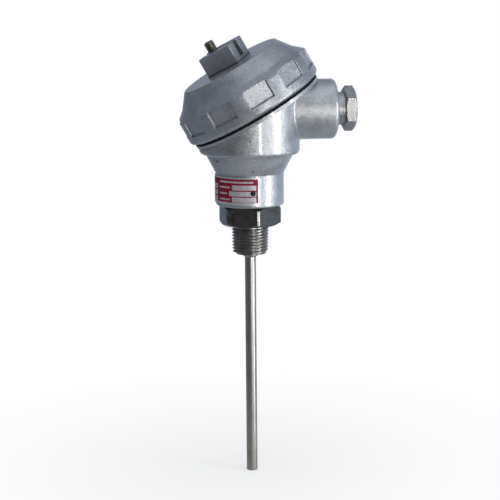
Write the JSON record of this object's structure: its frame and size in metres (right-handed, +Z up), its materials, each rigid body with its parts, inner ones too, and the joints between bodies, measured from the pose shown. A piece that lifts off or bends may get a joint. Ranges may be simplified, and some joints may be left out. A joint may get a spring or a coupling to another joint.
{
  "type": "temperature probe with connection head",
  "caption": "Sheathed temperature probe on a tapered hex nipple, with a slanted cast head, screw cap and side cable gland.",
  "frame": {"origin": "probe axis at the underside of the nipple's hexagon, where the process thread starts", "axes": "+Z up the probe axis into the head, +X out of the conduit boss"},
  "size_m": [0.1, 0.0824, 0.2533],
  "materials": {
    "cast_aluminium": "sprayed silver, fine sparkle",
    "cap_aluminium": "cast and tumbled, satin grey",
    "black_rubber": "matt",
    "blackened_steel": "oiled black",
    "plated_brass": "nickel plated, worn",
    "steel": "bright zinc",
    "nameplate": "printed crimson on bare metal",
    "nipple_steel": "turned stainless steel",
    "sheath_steel": "drawn stainless tube",
    "wire_alloy": "bare alloy wire",
    "ceramic": "glazed white ceramic",
    "seal_compound": "cast compound",
    "brass": "machined"
  },
  "bodies": {
    "head": {"housing": "cast_aluminium", "hex_nipple": "nipple_steel", "sheath_tube": "sheath_steel", "hot_junction": "wire_alloy", "insulation_core": "ceramic", "lead_seal": "seal_compound", "nameplate": "nameplate", "nameplate_rivet_front": "blackened_steel", "nameplate_rivet_rear": "blackened_steel", "terminal_block": "ceramic", "gland_grommet": "black_rubber", "terminal_bar_plus": "brass", "thermo_wire_plus": "wire_alloy", "block_screw_plus": "steel", "clamp_washer_plus_left": "steel", "terminal_screw_plus_left": "steel", "clamp_washer_plus_right": "steel", "terminal_screw_plus_right": "steel", "terminal_bar_minus": "brass", "thermo_wire_minus": "wire_alloy", "block_screw_minus": "steel", "clamp_washer_minus_left": "steel", "terminal_screw_minus_left": "steel", "clamp_washer_minus_right": "steel", "terminal_screw_minus_right": "steel"},
    "gasket_carrier": {"cap_gasket": "black_rubber"},
    "cap": {"screw_cap": "cap_aluminium", "cap_lug_screw": "blackened_steel"},
    "gland_follower": {"gland_washer": "steel"},
    "gland": {"gland_nut": "plated_brass"}
  },
  "joints": [
    {"name": "cap_rise", "type": "slide", "parent": "head", "child": "gasket_carrier", "axis": [-0.5, 0, 0.866], "range_m": [0, 0.0125]},
    {"name": "cap_turn", "type": "hinge", "parent": "gasket_carrier", "child": "cap", "pos_m": [0.00377, 0, 0.06488], "axis": [-0.5, 0, 0.866], "range_deg": [0, 1800]},
    {"name": "gland_travel", "type": "slide", "parent": "head", "child": "gland_follower", "axis": [1, 0, 0], "range_m": [-0.003, 0.006]},
    {"name": "gland_turn", "type": "hinge", "parent": "gland_follower", "child": "gland", "pos_m": [0.05, 0, 0.065], "axis": [1, 0, 0], "range_deg": [-720, 1440]}
  ],
  "couplings": [
    {"joint": "cap_rise", "follows": "cap_turn", "m_per_rad": 0.00039789},
    {"joint": "gland_turn", "follows": "gland_travel", "rad_per_m": 4188.8}
  ]
}
